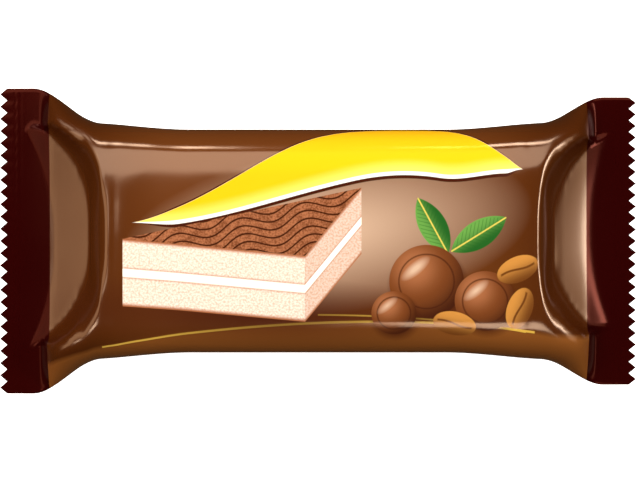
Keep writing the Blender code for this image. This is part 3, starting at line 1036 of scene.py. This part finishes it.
def film_material(name, with_print):
    material = bpy.data.materials.new(name)
    material.use_nodes = True
    tree = material.node_tree
    shader = tree.nodes["Principled BSDF"]
    shader.inputs["IOR"].default_value = FILM_IOR
    shader.inputs["Specular IOR Level"].default_value = FILM_SPECULAR
    where = tree.nodes.new("ShaderNodeTexCoord").outputs["Object"]
    feed(tree, shader.inputs["Roughness"], film_roughness(tree, where))
    tree.links.new(film_waviness(tree, where), shader.inputs["Normal"])
    if with_print:
        paint, on_seal_print = print_design(tree)
        tree.links.new(film_gleam(tree, paint, on_seal_print), shader.inputs["Specular Tint"])
    else:
        shade = noise(tree, where, PLAIN_SCALE).share(NOISE_LOW, NOISE_HIGH)
        paint = blend(tree, shade, GROUND_DARK, GROUND)
    tree.links.new(paint, shader.inputs["Base Color"])
    return material


printed_film = film_material("printed_film", with_print=True)
plain_film = film_material("plain_film", with_print=False)
print("film material:", len(printed_film.node_tree.nodes), "nodes")

# %% [markdown]
# The wrapper is crimped and cut. Its ribs are very shallow, because the photo shows nearly smooth
# seals, and they stop just before the teeth.

# %% Crimp and cut the wrapper
RIB_BAND, RIB_CLEARANCE = 6.0 * MM, 0.8 * MM
RIB_PITCH, RIB_DEPTH = 1.5 * MM, 0.012 * MM
TOOTH_DEPTH = 1.7 * MM

rib_places = (HALF_LENGTH - RIB_BAND, HALF_LENGTH - TOOTH_DEPTH - RIB_CLEARANCE)
crimp_piece(wrapper, (*rib_places, RIB_PITCH, RIB_DEPTH), TOOTH_DEPTH, printed_film)
print("crimped wrapper:", len(wrapper.data.polygons), "faces")

# %% [markdown]
# The back seam. The film's two long edges are joined face to face in a fin, which is folded flat
# against the pack. It lies on the underside between the end seals. It is cut from the film's own
# points, so that it follows every dip, and thickened outwards; the crimp tree ribs it too.

# %% Build the back seam
SEAM_WIDTH, SEAM_THICKNESS = 10.0 * MM, 0.3 * MM
SEAM_RIB_PITCH, SEAM_RIB_DEPTH = 1.2 * MM, 0.03 * MM


def build_back_seam():
    points = np.zeros(len(wrapper.data.vertices) * 3)
    wrapper.data.vertices.foreach_get("co", points)
    points = points.reshape(len(film_rows), COLUMNS, 3)
    half_columns = round(SEAM_WIDTH / 2 / COLUMN_PITCH)
    middle = COLUMNS // 2
    rows = np.flatnonzero(np.abs(film_rows) <= FILM_SEAL_START)
    patch = points[rows][:, middle - half_columns: middle + half_columns + 1]
    seam = add_object("back_seam", patch, grid_faces(len(rows), patch.shape[1], tube=False))
    wall = seam.modifiers.new("wall", "SOLIDIFY")
    wall.thickness = SEAM_THICKNESS
    wall.offset = 1.0
    return seam


back_seam = build_back_seam()
crimp_piece(back_seam, (0.0, SEAL_START, SEAM_RIB_PITCH, SEAM_RIB_DEPTH), 0.0, plain_film)
print("back seam:", len(back_seam.data.polygons), "faces")

# %% [markdown]
# The pieces join the frame. Both ride on the one body, and the film stands for the packed solid.

# %% Join the frame
for piece in (wrapper, back_seam):
    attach(piece, "root")
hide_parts("cake_pack")
print("pieces:", wrapper.name, back_seam.name)

# %% [markdown]
# The studio. The camera looks straight down, far enough away that the pack's sides hardly show,
# and the pack fills the picture's width. The floor is pure white and casts nothing back.

# %% Camera and floor
LENS, SENSOR = 150.0, 36.0
CAMERA_SEES_TO = 10.0
FLOOR_HALF_SIZE = 1.0
FLOOR_WHITE, FLOOR_ROUGHNESS = (0.95, 0.95, 0.95, 1.0), 0.8
WHITE = (1.0, 1.0, 1.0, 1.0)


def add_camera():
    data = bpy.data.cameras.new("camera")
    data.lens, data.sensor_width = LENS, SENSOR
    data.clip_end = CAMERA_SEES_TO
    camera = bpy.data.objects.new("camera", data)
    bpy.context.scene.collection.objects.link(camera)
    away = 2 * HALF_LENGTH * LENS / SENSOR
    camera.location = (0.0, 0.0, SEAL_HEIGHT + away)
    bpy.context.scene.camera = camera
    return away


def add_floor():
    half = FLOOR_HALF_SIZE
    corners = [(-half, -half, 0), (half, -half, 0), (half, half, 0), (-half, half, 0)]
    floor = add_object("floor", corners, [(0, 1, 2, 3)])
    material = bpy.data.materials.new("studio_floor")
    material.use_nodes = True
    shader = material.node_tree.nodes["Principled BSDF"]
    shader.inputs["Base Color"].default_value = FLOOR_WHITE
    shader.inputs["Roughness"].default_value = FLOOR_ROUGHNESS
    shader.inputs["Emission Color"].default_value = WHITE
    shader.inputs["Emission Strength"].default_value = 1.0
    floor.data.materials.append(material)
    floor.visible_glossy = floor.visible_diffuse = False
    floor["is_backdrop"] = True


add_floor()
print(f"camera {add_camera():.3f} m above the seals")

# %% [markdown]
# The film is glossy, so most of its look is what it mirrors. A panel beyond the far side lights
# its upper half, warm low boxes beyond both ends light the ramps, with a small bright strip for the
# right one, corner boxes lift two corners, and small strips draw the bright lines on the shoulders.
# The room round them is dim and warm, so that the dark film never mirrors grey. A large cool fill
# above brings out the inks. It is kept out of the reflections, so that the flat parts show the
# print's own colours.

# %% Light
AIM = (0.0, 0.0, 0.014)
WARM, WARMER, NEUTRAL, COOL = (1.0, 0.94, 0.87), (1.0, 0.80, 0.58), WHITE[:3], (0.88, 1.0, 1.18)
ROOM, ROOM_BRIGHTNESS = (1.0, 0.62, 0.34, 1.0), 0.06
PANELS = [
    ("upper_panel", (-0.13, 0.300, 0.534), (0.74, 0.42), 13.5, WARM),
    ("left_box", (-0.473, 0.0, 0.383), (0.5, 0.25), 8.0, WARMER),
    ("right_box", (0.520, 0.0, 0.314), (0.5, 0.22), 8.0, WARMER),
    ("right_strip", (0.465, 0.065, 0.390), (0.15, 0.12), 66.0, NEUTRAL),
    ("lower_corner_box", (-0.262, -0.236, 0.500), (0.14, 0.10), 32.0, WARM),
    ("upper_corner_box", (-0.352, 0.420, 0.258), (0.24, 0.12), 12.0, WARM),
    ("left_shoulder_strip", (-0.085, 0.52, 0.25), (0.08, 0.07), 55.0, WARM),
    ("right_shoulder_strip", (0.085, 0.52, 0.25), (0.09, 0.07), 55.0, WARM),
    ("low_strip", (0.084, -0.35, 0.49), (0.10, 0.13), 24.0, WARM),
    ("fill", (0.0, 0.0, 0.71), (1.0, 1.0), 1.6, COOL),
]


def add_light(name, at, size, brightness, colour):
    """A flat panel that faces the pack. brightness is its power for each square metre."""
    data = bpy.data.lights.new(name, "AREA")
    data.shape = "RECTANGLE"
    data.size, data.size_y = size
    data.energy = brightness * size[0] * size[1]
    data.color = colour
    light = bpy.data.objects.new(name, data)
    bpy.context.scene.collection.objects.link(light)
    light.location = at
    aim = Vector(AIM) - Vector(at)
    light.rotation_euler = aim.to_track_quat("-Z", "Y").to_euler()
    light.visible_glossy = name != "fill"


def set_world():
    """White to the camera, and a dim warm room for everything else."""
    world = bpy.data.worlds.new("studio")
    world.use_nodes = True
    bpy.context.scene.world = world
    tree = world.node_tree
    surface = tree.nodes["Background"]
    path = tree.nodes.new("ShaderNodeLightPath")
    seen = Reading(tree, path.outputs["Is Camera Ray"])
    tree.links.new(blend(tree, seen, ROOM, WHITE), surface.inputs["Color"])
    feed(tree, surface.inputs["Strength"], seen * (1.0 - ROOM_BRIGHTNESS) + ROOM_BRIGHTNESS)


set_world()
for panel in PANELS:
    add_light(*panel)
bpy.context.scene.view_settings.view_transform = "Standard"
print("lights:", len(PANELS))

# %% Print the box of the solid and of the dressed scene
visual_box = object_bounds()
for name, low, high in (("cad", *cad_box), ("visual", *visual_box)):
    print(name, [round(float(v) / MM, 2) for v in (*low, *high)])
